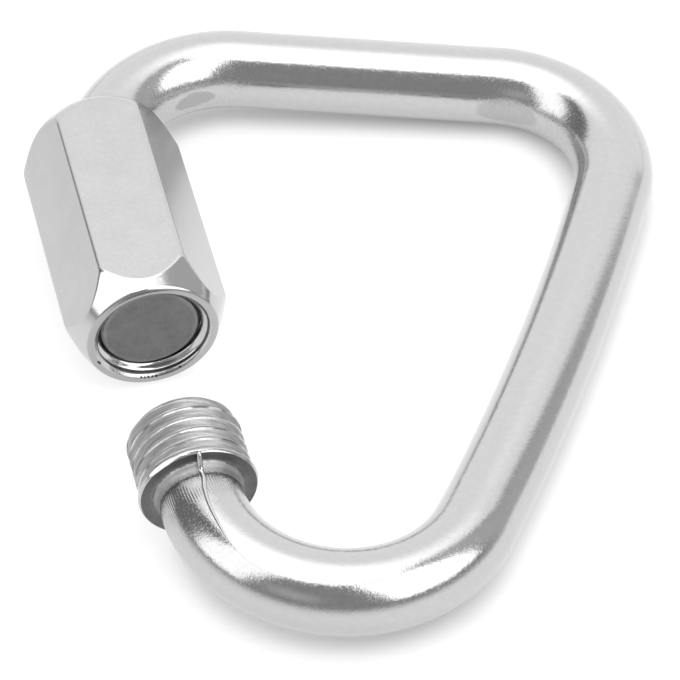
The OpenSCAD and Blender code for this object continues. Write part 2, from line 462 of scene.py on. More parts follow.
def mesh_points(mesh):
    flat = np.empty(3 * len(mesh.vertices))
    mesh.vertices.foreach_get("co", flat)
    return flat.reshape(-1, 3) / MM


def mesh_faces(mesh):
    return [tuple(face.vertices) for face in mesh.polygons]


def mesh_mark(mesh, name, width):
    """A named mark as rows of that width."""
    flat = np.empty(width * len(mesh.vertices))
    mesh.attributes[name].data.foreach_get(MARK_KINDS[width][1], flat)
    return flat.reshape(-1, width)


def set_mark(mesh, name, rows):
    """Stores rows as a named mark."""
    kind, field = MARK_KINDS[rows.shape[1]]
    layer = mesh.attributes.new(name, kind, "POINT")
    layer.data.foreach_set(field, rows.ravel())


def path_mesh(points, thickness):
    """A polyline in metres that carries its thickness."""
    mesh = bpy.data.meshes.new("path")
    mesh.from_pydata((points * MM).tolist(), [(i, i + 1) for i in range(len(points) - 1)], [])
    set_mark(mesh, "thickness", thickness[:, None] * MM)
    return mesh


def sheet_faces(rows, columns, joined=True):
    """Quads of a sheet of rows; when joined, the last column meets the first."""
    faces = []
    for i in range(rows - 1):
        for j in range(columns if joined else columns - 1):
            k = (j + 1) % columns
            faces.append((i * columns + j, i * columns + k, (i + 1) * columns + k, (i + 1) * columns + j))
    return faces


def turned_sheet(profile, finish):
    """A sheet turned about the gate line from (station, radius) rows; a last radius of 0 closes it."""
    profile = np.array(profile)
    closed = profile[-1, 1] == 0
    rows = profile[:-1] if closed else profile
    angles = np.arange(BAR_SIDES) * 2 * math.pi / BAR_SIDES
    points = on_gate(rows[:, :1], rows[:, 1:], angles[None, :]).reshape(-1, 3)
    faces = sheet_faces(len(rows), BAR_SIDES)
    if closed:
        last = (len(rows) - 1) * BAR_SIDES
        points = np.vstack([points, on_gate(profile[-1, 0], 0.0, 0.0)])
        faces += [(last + j, last + (j + 1) % BAR_SIDES, len(points) - 1) for j in range(BAR_SIDES)]
    return Part(points, faces, finish, {})


# How close points lie that are welded, and edges that are dropped, in millimetres
WELD_WITHIN = 0.003
SLIVER = 0.0005


def weld(name, parts, finishes, marks):
    """One closed mesh from parts that meet edge to edge, with faces outwards and marks of given widths."""
    points = np.vstack([part.points for part in parts])
    faces, slots, start = [], [], 0
    for part in parts:
        faces += [tuple(i + start for i in face) for face in part.faces]
        slots += [finishes.index(part.finish)] * len(part.faces)
        start += len(part.points)
    mesh = bpy.data.meshes.new(name)
    mesh.from_pydata((points * MM).tolist(), [], faces)
    for finish in finishes:
        mesh.materials.append(finish)
    mesh.polygons.foreach_set("material_index", slots)
    for label, width in marks.items():
        rows = [part.marks.get(label, np.zeros((len(part.points), width))).reshape(-1, width)
                for part in parts]
        set_mark(mesh, label, np.vstack(rows))
    shell = bmesh.new()
    shell.from_mesh(mesh)
    bmesh.ops.remove_doubles(shell, verts=shell.verts, dist=WELD_WITHIN * MM)
    bmesh.ops.dissolve_degenerate(shell, edges=shell.edges, dist=SLIVER * MM)
    bmesh.ops.recalc_face_normals(shell, faces=shell.faces)
    for face in shell.faces:
        face.smooth = True
    shell.to_mesh(mesh)
    shell.free()
    return put(name, mesh)


# The bar

def arc(centre, radius, start, end):
    """Points along an arc from one heading to another, in degrees."""
    count = max(2, round(math.radians(abs(end - start)) * radius / PATH_STEP))
    angle = np.radians(np.linspace(start, end, count + 1))
    return centre + radius * np.column_stack([np.cos(angle), np.sin(angle), 0 * angle])


def straight(start, end):
    count = max(2, round(np.linalg.norm(end - start) / PATH_STEP))
    return start + np.linspace(0, 1, count + 1)[:, None] * (end - start)


def bow():
    """Centre of the bowed leg, and its headings at the plain corner and at the pointed bend."""
    reach = APEX - PLAIN_CORNER
    length = np.linalg.norm(reach)
    along = reach / length
    across = np.array([along[1], -along[0], 0.0])
    corner_reach = LEG_BOW_R - PLAIN_CORNER_R
    apex_reach = LEG_BOW_R - APEX_R
    step = (corner_reach ** 2 - apex_reach ** 2 + length ** 2) / (2 * length)
    centre = PLAIN_CORNER + step * along + math.sqrt(corner_reach ** 2 - step ** 2) * across
    return centre, heading(PLAIN_CORNER - centre), heading(APEX - centre)


def smoothed(values):
    """Running mean over three neighbours on each side, ends held."""
    reach = 3
    padded = np.pad(values, reach, mode="edge")
    return np.convolve(padded, np.ones(2 * reach + 1) / (2 * reach + 1), mode="valid")


# The bar ends at the foot of each stud's collar, this far from the stud
COLLAR_LEN = 1.1
UPPER_BAR_END = UPPER_ROOT - COLLAR_LEN
LOWER_BAR_END = RIM_AT + COLLAR_LEN
# How far from its ends the bar is duller
ROOT_FADE = 7.0


def bar_path():
    """Centreline from the upper stud's collar round the link to the lower stud's, and where it is bent."""
    bow_centre, bow_top, bow_foot = bow()
    lean = math.degrees(GATE_LEAN)
    runs = [
        (straight(on_gate(UPPER_BAR_END, 0.0, 0.0), GATE_START), 0.0),
        (arc(GATE_CORNER, GATE_CORNER_R, 180 + lean, 90), 1.0),
        (straight(np.array([-BASE_LEN / 2, ROD_R, 0]), np.array([BASE_LEN / 2, ROD_R, 0])), 0.0),
        (arc(PLAIN_CORNER, PLAIN_CORNER_R, 90, bow_top), 1.0),
        (arc(bow_centre, LEG_BOW_R, bow_top, bow_foot), 0.0),
        (arc(APEX, APEX_R, bow_foot, lean - 180), 1.0),
        (straight(on_gate(GATE_LEN, 0.0, 0.0), on_gate(LOWER_BAR_END, 0.0, 0.0)), 0.0),
    ]
    points = np.vstack([run[:-1] for run, _ in runs] + [runs[-1][0][-1:]])
    bent = smoothed(np.concatenate([np.full(len(run) - 1, bend) for run, bend in runs] + [[0.0]]))
    bent[[0, -1]] = 0.0
    return points, bent


ToolMark = namedtuple("ToolMark", "centre half_length half_height depth dulling")
# Oval marks of the bending tool on the inside of the two upper corners; their dulling fades in near the edge
TOOL_MARKS = [
    ToolMark(np.array([-17.9, -1.2, 0.0]), 2.4, 1.0, 0.8, 0.75),
    ToolMark(np.array([14.6, -0.1, 0.1]), 3.4, 1.7, 0.25, 0.5),
]
TOOL_MARK_REACH = 1.3
TOOL_MARK_EDGE = 5


def press_marks(points, axis_points, axis_dirs):
    """Presses the oval tool marks into the bar: each is a flat across the bar that narrows to its ends.

    Returns the points and how dulled each one is.
    """
    radial = points - axis_points
    radius = np.linalg.norm(radial, axis=1)
    dulled = np.zeros(len(points))
    for mark in TOOL_MARKS:
        offset = points - mark.centre
        near = np.linalg.norm(offset, axis=1) < mark.half_length * TOOL_MARK_REACH
        level = offset[:, 2]
        share = 1 - (np.einsum("ij,ij->i", offset, axis_dirs) / mark.half_length) ** 2
        half = mark.half_height * np.sqrt(np.clip(share, 0, 1))
        flat_r = np.sqrt(np.clip(radius ** 2 - half ** 2, 0, None))
        swing = np.sqrt(np.clip(1 - (level / radius) ** 2, 0.01, 1))
        pressed = radius - mark.depth * (radius - flat_r / swing)
        radius = np.where(near & (np.abs(level) < half), np.minimum(radius, pressed), radius)
        oval = np.clip((share - (level / mark.half_height) ** 2) * TOOL_MARK_EDGE, 0, 1)
        dulled = np.maximum(dulled, near * oval * mark.dulling)
    return axis_points + unit(radial) * radius[:, None], dulled


def bent_bar(tree, finish):
    """The swept bar with its tool marks, and the marks that its finish reads."""
    path, bent = bar_path()
    mesh = grown(tree, path_mesh(path, ROD_R + BEND_SWELL * bent), {
        "Sides": BAR_SIDES, "Closed ends": False, "Finish": finish})
    points = mesh_points(mesh)
    station = run_length(path)
    tangent = unit(np.gradient(path, axis=0))
    ring = np.repeat(np.arange(len(path)), BAR_SIDES)
    outward = unit(points - path[ring])
    # The loop lies to the right of the path all the way round
    inside = np.clip(np.einsum("ij,ij->i", outward, np.cross(tangent, UP)[ring]), 0, 1)
    to_end = np.minimum(station, station[-1] - station)[ring]
    points, pressed = press_marks(points, path[ring], tangent[ring])
    marks = {"along": station[ring], "round": mesh_mark(mesh, "round", 3), "pressed": pressed,
             "crinkle": bent[ring] * inside ** 2, "root": np.clip(1 - to_end / ROOT_FADE, 0, 1) ** 1.5}
    return Part(points, mesh_faces(mesh), finish, marks)


# The studs

def thread_part(tree, finish, start_at, end_at, columns, first_angle, rows_a_turn, sizes, shares):
    """A thread on the gate line between two stations, from sizes in millimetres and shares of the pitch.

    All threads lie on one helix.
    """
    sense = 1 if end_at > start_at else -1
    length = abs(end_at - start_at)
    turns = length / PITCH + 1
    phase = sense * (start_at / PITCH - HELIX) - first_angle / (2 * math.pi)
    sizes = {"Pitch": PITCH, "Length": length, **sizes}
    made = grown(tree, bpy.data.meshes.new("start"), {
        "Points around": columns + 1, "Points along": math.ceil(turns * rows_a_turn) + 1, "Turns": turns,
        "Phase": phase % 1.0, "Finish": finish, **shares,
        **{label: size * MM for label, size in sizes.items()}})
    local = mesh_points(made)
    angle = sense * np.arctan2(local[:, 1], local[:, 0]) + first_angle
    points = on_gate(start_at + sense * local[:, 2], np.hypot(local[:, 0], local[:, 1]), angle)
    return Part(points, mesh_faces(made), finish, {"crest": mesh_mark(made, "crest", 1)})


STUD_ROWS_A_TURN = 20


def stud_thread(tree, finish, tip, root, root_r):
    """Outside thread from a stud's chamfered tip to its root, where it runs out to the given radius."""
    sizes = {"Crest radius": STUD_R, "Root radius": THREAD_ROOT_R, "Start radius": STUD_TIP_R,
             "Start length": 0.9, "End radius": root_r, "End length": 0.7}
    return thread_part(tree, finish, tip, root, BAR_SIDES, 0.0, STUD_ROWS_A_TURN, sizes,
                       {"Crest half": 0.05, "Flank end": 0.45})


# Dished end of a stud as (depth into the stud, radius) rows, and how far in and how much its edge is rubbed
TIP_DISH = [(0.0, STUD_TIP_R), (-0.04, STUD_TIP_R - 0.08), (-0.05, STUD_TIP_R - 0.25),
            (-0.03, STUD_TIP_R - 0.5), (0.02, 3.4), (0.05, 2.2), (0.06, 1.1), (0.06, 0)]
TIP_RUB_WIDTH = 0.5
TIP_RUB = 0.5


def tip_face(tip, inward, finish):
    """Slightly dished end of a stud; inward is the way into the stud along the gate line."""
    part = turned_sheet([(tip + depth * inward, radius) for depth, radius in TIP_DISH], finish)
    edge = (off_gate(part.points) - STUD_TIP_R + TIP_RUB_WIDTH) / TIP_RUB_WIDTH
    part.marks["worn"] = TIP_RUB * np.clip(edge, 0, 1)
    return part


# Rim and root collar as (distance past the rim, radius) rows, from the bar up to the thread
COLLAR_TOP_R = 4.38
COLLAR = [(COLLAR_LEN, ROD_R), (0.85, 4.01), (0.65, 4.03), (0.50, 4.07), (0.38, 4.13), (0.28, 4.20),
          (0.18, 4.28), (0.09, 4.34), (0.0, COLLAR_TOP_R)]
# How rubbed the collar is by radius: nearly as the bar at its foot, duller in the hollow, paler on its edge
COLLAR_RUB = np.array([(ROD_R, 1.4), (4.07, 0.9), (4.28, 0.7), (4.34, 1.4)])
RIM_UNDERSIDE = [(0.0, COLLAR_TOP_R), (-0.10, 4.42), (-0.15, 4.55), (-0.15, 4.80), (-0.12, 5.05),
                 (-0.07, 5.35), (-0.02, 5.52), (-0.01, 5.56)]
RIM_EDGE = [(-0.01, 5.56), (-0.03, 5.60), (-0.10, 5.65), (-0.22, 5.71), (-0.33, 5.745), (-0.40, RIM_R),
            (-0.46, 5.72), (-0.52, 5.64), (-0.57, 5.55), (-0.60, STUD_R)]
SHOULDER = [(0.0, COLLAR_TOP_R), (-0.04, 4.45), (-0.06, 4.65), (-0.10, 4.85), (-0.16, THREAD_ROOT_R)]
# Flat sheared into the rim's edge: angle about the gate line and tilt towards the bar in degrees, its
# distance from the rim's middle, and the stations past the rim between which it cuts
RIM_FLAT_ANGLE = 129.0
RIM_FLAT_TILT = 25.0
RIM_FLAT_R = 4.90
RIM_FLAT_FROM = -0.62
RIM_FLAT_TO = 0.05


def shear_rim(part):
    """Cuts the flat into the rim's edge."""
    offset = part.points - on_gate(RIM_AT, 0.0, 0.0)
    station = offset @ GATE_DIR
    angle, tilt = math.radians(RIM_FLAT_ANGLE), math.radians(RIM_FLAT_TILT)
    normal = math.cos(tilt) * (math.cos(angle) * GATE_IN + math.sin(angle) * UP) + math.sin(tilt) * GATE_DIR
    on_rim = (station > RIM_FLAT_FROM) & (station < RIM_FLAT_TO)
    over = np.where(on_rim, np.clip(offset @ normal - RIM_FLAT_R, 0, None), 0)
    return part._replace(points=part.points - over[:, None] * normal)


def collar(rows, finish):
    """Forged collar at the root of a stud, with a mark of how rubbed it is."""
    part = turned_sheet(rows, finish)
    part.marks["worn"] = np.interp(off_gate(part.points), COLLAR_RUB[:, 0], COLLAR_RUB[:, 1])
    return part


def link_body(sweep, thread, bar_finish, thread_finish, raw_finish):
    """Bar, both studs, rim and end faces as one closed mesh."""
    def past_rim(rows):
        return [(RIM_AT + step, radius) for step, radius in rows]

    def before_stud(rows):
        return [(UPPER_ROOT - step, radius) for step, radius in rows]

    parts = [
        bent_bar(sweep, bar_finish),
        collar(past_rim(COLLAR), raw_finish),
        turned_sheet(past_rim(RIM_UNDERSIDE), raw_finish),
        turned_sheet(past_rim(RIM_EDGE), bar_finish),
        stud_thread(thread, thread_finish, LOWER_TIP, RIM_AT + RIM_EDGE[-1][0], STUD_R),
        tip_face(LOWER_TIP, 1.0, raw_finish),
        collar(before_stud(COLLAR), raw_finish),
        turned_sheet(before_stud(SHOULDER), raw_finish),
        stud_thread(thread, thread_finish, UPPER_TIP, UPPER_ROOT - SHOULDER[-1][0], THREAD_ROOT_R),
        tip_face(UPPER_TIP, -1.0, raw_finish),
    ]
    parts = [shear_rim(part) for part in parts]
    return weld("bent_bar_with_studs", parts, [bar_finish, thread_finish, raw_finish],
                {"along": 1, "round": 3, "crinkle": 1, "root": 1, "pressed": 1, "crest": 1, "worn": 1})


# Flash line that the forging dies leave round the pointed bend: headings, and its angles from outside to up
FLASH_HEADINGS = [197.1, 204.3, 218.6, 228.1, 237.6, 248.3]
FLASH_ANGLES = [91.0, 85.0, 76.0, 68.0, 60.0, 56.0]
# Web of the flash across the rim's underside, as (distance past the rim, radius, thickness)
FLASH_WEB = np.array([(-0.20, 5.70, 0.13), (0.0, 5.66, 0.20), (0.12, 5.45, 0.24), (0.25, 5.10, 0.26),
                      (0.42, 4.70, 0.26), (0.70, 4.24, 0.25), (1.05, 4.06, 0.25)])
FLASH_SIDES = 12
FLASH_BEND_STEPS = 90
FLASH_STEPS = 160
# The line is this thick at its ends, and sinks into the bar from this height to this depth
FLASH_THICK = 0.25
FLASH_THIN = 0.05
FLASH_PROUD = 0.01
FLASH_SUNK = 0.05
# Burr on the rim's edge where the web meets it: angles about the gate line, and least and added thickness
BURR_ANGLES = np.radians(np.linspace(80, 102, 23))
BURR_THIN = 0.03
BURR_SWELL = 0.11


def flash_line(sweep, finish):
    """Thin raised line from the rim down the pointed bend, thick at the rim and fading out."""
    web = on_gate(RIM_AT + FLASH_WEB[:, 0], FLASH_WEB[:, 1], math.radians(FLASH_ANGLES[0]))
    headings = np.linspace(FLASH_HEADINGS[0] + 1.0, FLASH_HEADINGS[-1], FLASH_BEND_STEPS)
    angles = np.radians(np.interp(headings, FLASH_HEADINGS, FLASH_ANGLES))
    out = np.column_stack([np.cos(np.radians(headings)), np.sin(np.radians(headings)), 0 * headings])
    skin = ROD_R + BEND_SWELL - np.linspace(-FLASH_PROUD, FLASH_SUNK, FLASH_BEND_STEPS)
    run = APEX + out * (APEX_R + skin * np.cos(angles))[:, None] + UP * (skin * np.sin(angles))[:, None]
    fading = np.linspace(1, 0, FLASH_BEND_STEPS) ** 1.5
    rough_spine = np.vstack([web, run])
    rough_thickness = np.concatenate([FLASH_WEB[:, 2], FLASH_THIN + (FLASH_THICK - FLASH_THIN) * fading])
    gone = run_length(rough_spine)
    even = np.linspace(0, gone[-1], FLASH_STEPS)
    spine = np.column_stack([smoothed(np.interp(even, gone, line)) for line in rough_spine.T])
    spine_thickness = np.interp(even, gone, rough_thickness)
    burr = on_gate(RIM_AT + FLASH_WEB[0, 0], RIM_R - BURR_THIN, BURR_ANGLES)
    burr_thickness = BURR_THIN + BURR_SWELL * np.sin(np.linspace(0, math.pi, len(burr)))
    parts = []
    for points, thickness in ((spine, spine_thickness), (burr, burr_thickness)):
        made = grown(sweep, path_mesh(points, thickness), {
            "Sides": FLASH_SIDES, "Closed ends": True, "Finish": finish})
        parts.append(Part(mesh_points(made), mesh_faces(made), finish, {}))
    return weld("flash_line", parts, [finish], {})


# The sleeve

# Points across a flat and round a corner, the corner's radius, and the first step next to it
FLAT_STEPS = 28
CORNER_STEPS = 6
CORNER_ROUND = 0.55
EDGE_SUPPORT = 0.06
HEX_HALF = math.radians(30)


def hex_section():
    """Angle and radius of points round the hex section with rounded corners, counterclockwise."""
    half = (SLEEVE_HALF_FLATS - CORNER_ROUND) * math.tan(HEX_HALF)
    inner = np.linspace(-half + EDGE_SUPPORT, half - EDGE_SUPPORT, FLAT_STEPS - 1)
    across = np.concatenate([[-half], inner, [half]])
    centre_r = (SLEEVE_HALF_FLATS - CORNER_ROUND) / math.cos(HEX_HALF)
    points = []
    for k in range(6):
        normal = math.radians(30 + 60 * k)
        flat = SLEEVE_HALF_FLATS * np.exp(1j * normal) + across * 1j * np.exp(1j * normal)
        corner = math.radians(60 + 60 * k)
        sweep = corner + np.radians(np.linspace(-30, 30, CORNER_STEPS + 1)[1:-1])
        points += [flat, centre_r * np.exp(1j * corner) + CORNER_ROUND * np.exp(1j * sweep)]
    section = np.concatenate(points)
    return np.unwrap(np.angle(section)) + math.radians(SLEEVE_TURN), np.abs(section)


# Each softened corner of a profile has these steps between a supporting row on either side
SOFT_STEPS = 4
SUPPORT_AT = 1.35
CORNER_ROWS = SOFT_STEPS + 3


def softened(corners, cuts):
    """Profiles with softened corners. corners is (profile, corner, 2); a cut is how far back one starts."""
    rows = [corners[:, 0]]
    for k in range(1, corners.shape[1] - 1):
        before, at, after = corners[:, k - 1], corners[:, k], corners[:, k + 1]
        back = unit(before - at)
        ahead = unit(after - at)
        cut = np.broadcast_to(cuts[k], len(at))[:, None]
        rows.append(at + back * cut * SUPPORT_AT)
        for t in np.linspace(0, 1, SOFT_STEPS + 1):
            rows.append(at + back * cut * (1 - t) ** 2 + ahead * cut * t ** 2)
        rows.append(at + ahead * cut * SUPPORT_AT)
    rows.append(corners[:, -1])
    return np.stack(rows, axis=1)


def corner_row(k):
    """Row in the middle of a softened corner."""
    return 1 + (k - 1) * CORNER_ROWS + CORNER_ROWS // 2


# Softening of the sleeve's edges: at the countersink, round the end faces, and where the cones meet the flats
LIP_CUT = 0.14
FACE_CUT = 0.28
BACK_CUT = 0.25
BACK_WEAR = 0.8
MOUTH_CUT = 0.07
MOUTH_WEAR = 0.3
BORE_ROWS_A_TURN = 10


def hex_sleeve(thread, flat_finish, turned_finish, bore_finish):
    """Hex sleeve with turned ends, a rounded lip, countersinks and its inside thread, as one closed mesh."""
    angle, reach = hex_section()
    columns = len(angle)
    even = np.arange(columns) * 2 * math.pi / columns + angle[0]
    back_cone = (reach - END_FACE_R) / math.tan(math.radians(BACK_CONE))
    mouth_cone = (reach - END_FACE_R) / math.tan(math.radians(MOUTH_CONE))
    sink = COUNTERSINK_R - BORE_GROOVE_R
    outline = [
        (BACK_AT + sink, BORE_GROOVE_R), (BACK_AT, COUNTERSINK_R), (BACK_AT, END_FACE_R),
        (BACK_AT + back_cone, reach), (MOUTH_AT - mouth_cone, reach),
        (MOUTH_AT, END_FACE_R), (MOUTH_AT, COUNTERSINK_R), (MOUTH_AT - sink, BORE_GROOVE_R)]
    corners = np.stack([np.column_stack([np.broadcast_to(size, columns) for size in corner])
                        for corner in outline], axis=1)
    # Tumbling has worn the cones' edges most at the hex corners
    wear = (reach - SLEEVE_HALF_FLATS) / (SLEEVE_HALF_FLATS / math.cos(HEX_HALF) - SLEEVE_HALF_FLATS)
    cuts = [0, LIP_CUT, FACE_CUT, BACK_CUT + BACK_WEAR * wear,
            MOUTH_CUT + MOUTH_WEAR * wear, FACE_CUT, LIP_CUT, 0]
    profile = softened(corners, cuts)
    rows = profile.shape[1]

    # Rows on the flats keep the hex section's own angles; the turned rings are spaced evenly
    keep = np.zeros(rows)
    keep[1 + 2 * CORNER_ROWS:1 + 4 * CORNER_ROWS] = 1.0
    angles = keep[None, :] * angle[:, None] + (1 - keep[None, :]) * even[:, None]
    points = on_gate(profile[:, :, 0], profile[:, :, 1], angles).transpose(1, 0, 2).reshape(-1, 3)
    faces = sheet_faces(rows, columns)
    first, last = corner_row(3) * columns, corner_row(4) * columns
    # The lathe's rings lie along the turned profile
    lathe = np.repeat(profile[0, :, 0] * 1.3 + profile[0, :, 1] * 2.1, columns)
    faced = np.zeros(rows)
    faced[corner_row(1):corner_row(2) + 1] = 1.0
    faced[corner_row(5):corner_row(6) + 1] = 1.0
    marks = {"lathe": lathe, "faced": np.repeat(faced, columns)}
    sides = Part(points, faces[first:last], flat_finish, marks)
    ends = Part(points, faces[:first] + faces[last:], turned_finish, marks)
    # The bore starts its columns at the same angle as the turned ends do
    slope = BORE_GROOVE_R - BORE_CREST_R
    sizes = {"Crest radius": BORE_GROOVE_R, "Root radius": BORE_CREST_R, "Start radius": BORE_GROOVE_R,
             "Start length": slope, "End radius": BORE_GROOVE_R, "End length": slope}
    bore = thread_part(thread, bore_finish, BACK_AT + sink, MOUTH_AT - sink, columns, angle[0],
                       BORE_ROWS_A_TURN, sizes, {"Crest half": 0.11, "Flank end": 0.42})
    return weld("hex_sleeve_turned", [sides, ends, bore], [flat_finish, turned_finish, bore_finish],
                {"lathe": 1, "faced": 1})


# Studio

def table_axes():
    """Right, away and up of the table that the link lies on; the sleeve's flat and the bar touch it."""
    tilt = math.radians(TABLE_TILT)
    up = UP * math.cos(tilt) - GATE_IN * math.sin(tilt)
    right = unit(np.array([1.0, 0.0, 0.0]) - up * up[0])
    return right, np.cross(up, right), up


# Floor: half its width, its coarse steps, and half the width and the step of its fine middle, in millimetres
FLOOR_HALF = 3000
FLOOR_STEP = 250
MIDDLE_HALF = 80
MIDDLE_STEP = 1
# Painted glow of the floor, an emission pool under the link: how far to the right of the sleeve its
# middle lies, where it starts and ends to fade, and its level in the middle and far off
PAINTED_GLOW_RIGHT = 50.0
PAINTED_GLOW_FADE_FROM = 45.0
PAINTED_GLOW_FADE_TO = 170.0
PAINTED_GLOW_LEVEL = 0.73
PAINTED_GLOW_FAR_LEVEL = 0.5
# Painted contact shadow of the bar, taken off the painted glow where the bar lies close to the sheet: the
# drop right under it and how far the drop reaches in front, what each loses for a millimetre of clearance,
# and how many times as far it reaches aside
PAINTED_SHADOW_DROP = 0.66
DROP_LOSS = 0.09
PAINTED_SHADOW_REACH = 4.6
REACH_LOSS = 0.5
PAINTED_SHADOW_ASIDE = 1.4


def painted_contact_shadow(x, y, path, height):
    """Painted shadow of the bar: how far the painted glow drops at places on the sheet; path is seen from
    above.
    """
    drop = np.zeros(x.shape)
    for (path_x, path_y), clearance in zip(path, height - ROD_R):
        reach = PAINTED_SHADOW_REACH - REACH_LOSS * clearance
        near = np.clip(np.hypot((x - path_x) / PAINTED_SHADOW_ASIDE, y - path_y) / reach, 0, 1)
        drop = np.maximum(drop, (PAINTED_SHADOW_DROP - DROP_LOSS * clearance) * (1 - near ** 2 * (3 - 2 * near)))
    return drop


def floor_steps(half, step):
    return np.linspace(-half, half, 2 * half // step + 1)


def lay_floor():
    """Frosted sheet under the link with a painted glow and the bar's painted shadow, in finer steps near it.
    """
    right, away, up = table_axes()
    foot = on_gate(MOUTH_AT - SLEEVE_LEN / 2, 0.0, 0.0) - up * SLEEVE_HALF_FLATS
    steps = np.union1d(floor_steps(FLOOR_HALF, FLOOR_STEP), floor_steps(MIDDLE_HALF, MIDDLE_STEP))
    x, y = (grid.ravel() for grid in np.meshgrid(steps, steps))
    points = foot + x[:, None] * right + y[:, None] * away
    mesh = bpy.data.meshes.new("floor")
    mesh.from_pydata((points * MM).tolist(), [], sheet_faces(len(steps), len(steps), joined=False))
    path = bar_path()[0] - foot
    set_mark(mesh, "painted_contact_shadow", painted_contact_shadow(x, y, path @ np.column_stack([right, away]), path @ up)[:, None])

    finish, tree = new_finish("frosted_acrylic_with_painted_glow")
    where = add(tree, "TexCoord").outputs["Object"]
    frost = add(tree, "TexNoise", {"Vector": where, "Scale": 900.0, "Detail": 2.0})
    frosted = add(tree, "Mix", {"Factor": frost, "A": linear("#939393"), "B": linear("#979797")},
                  data_type="RGBA")
    # The painted glow keeps the shadows pale near the link and fades off; the sheet's colour darkens with it
    # to a greyer table far off, a painted falloff of light
    painted_glow_middle = tuple((foot + right * PAINTED_GLOW_RIGHT) * MM)
    offset = add(tree, "VectorMath", {0: where, 1: painted_glow_middle}, operation="SUBTRACT")
    aside, behind = (add(tree, "VectorMath", {0: offset, 1: tuple(axis)}, operation="DOT_PRODUCT")
                     for axis in (right, away))
    # The painted glow doesn't fade behind the link, where the sheet runs up into the backdrop
    in_front = add(tree, "Math", {0: behind, 1: 0.0}, operation="MINIMUM")
    spread = add(tree, "CombineXYZ", {"X": aside, "Y": in_front})
    distance = add(tree, "VectorMath", {0: spread}, operation="LENGTH")
    far = add(tree, "MapRange", {"Value": distance, "From Min": PAINTED_GLOW_FADE_FROM * MM,
                                 "From Max": PAINTED_GLOW_FADE_TO * MM}, interpolation_type="SMOOTHSTEP")
    # Painted falloff: the sheet's colour greys with distance from the painted glow's middle
    tone = add(tree, "Mix", {"Factor": far, "A": frosted, "B": linear("#828282")}, data_type="RGBA")
    painted_pool = add(tree, "MapRange", {"Value": far, "To Min": PAINTED_GLOW_LEVEL, "To Max": PAINTED_GLOW_FAR_LEVEL})
    # Painted shadow under the bar, taken off the painted glow
    painted_bar_shadow = add(tree, "Attribute", attribute_name="painted_contact_shadow").outputs["Fac"]
    glow = add(tree, "Math", {0: painted_pool, 1: painted_bar_shadow}, operation="SUBTRACT", use_clamp=True)
    shader = add(tree, "BsdfPrincipled", {
        "Base Color": tone, "Roughness": 0.9, "Specular IOR Level": 0.1,
        "Emission Color": linear("#FFFFFF"), "Emission Strength": glow})
    add(tree, "OutputMaterial", {"Surface": shader})
    mesh.materials.append(finish)
    put("floor", mesh)


Panel = namedtuple("Panel", "azimuth half_width widen elevation half_height soft_side soft_top level")
# The studio as the bar mirrors it: azimuth 0 behind the link, positive to the right; angles in degrees.
# A panel grows wider with height by the share called widen, as an upright sheet does when seen from below.
DIM_ROOM = 0.38
PANELS = [
    Panel(0.0, 400.0, 0.0, 0.0, 5.0, 1.0, 6.0, 0.62),       # pale strip all along the horizon
    Panel(-0.8, 56.8, 0.0, 10.0, 53.0, 4.0, 8.0, 1.30),     # backdrop
    Panel(-75.0, 16.0, 0.0, 26.0, 30.0, 4.0, 6.0, 0.25),    # dark gap on the left
    Panel(72.0, 14.0, 0.0, 33.0, 33.0, 9.0, 6.0, 0.66),     # gap on the right, half lit
    Panel(-158.0, 14.0, 0.0, 27.0, 10.0, 10.0, 8.0, 0.62),  # pale wall in front, on the left
    Panel(-113.0, 21.0, 0.2, 38.0, 28.5, 4.0, 3.0, 2.0),    # softbox on the left
    Panel(120.0, 31.0, 0.2, 42.0, 26.0, 4.0, 3.0, 2.75),    # softbox on the right
    Panel(0.0, 50.0, 0.0, 76.0, 21.0, 20.0, 12.0, 2.1),     # glow at the top of the backdrop
]
# Softbox overhead: the way and the angle by which it leans from upright, its half angle, soft edge and level
OVERHEAD_LEANS_TO = -60.0
OVERHEAD_LEAN = 4.5
OVERHEAD_HALF = 23.0
OVERHEAD_SOFT = 3.5
OVERHEAD_LEVEL = 3.2


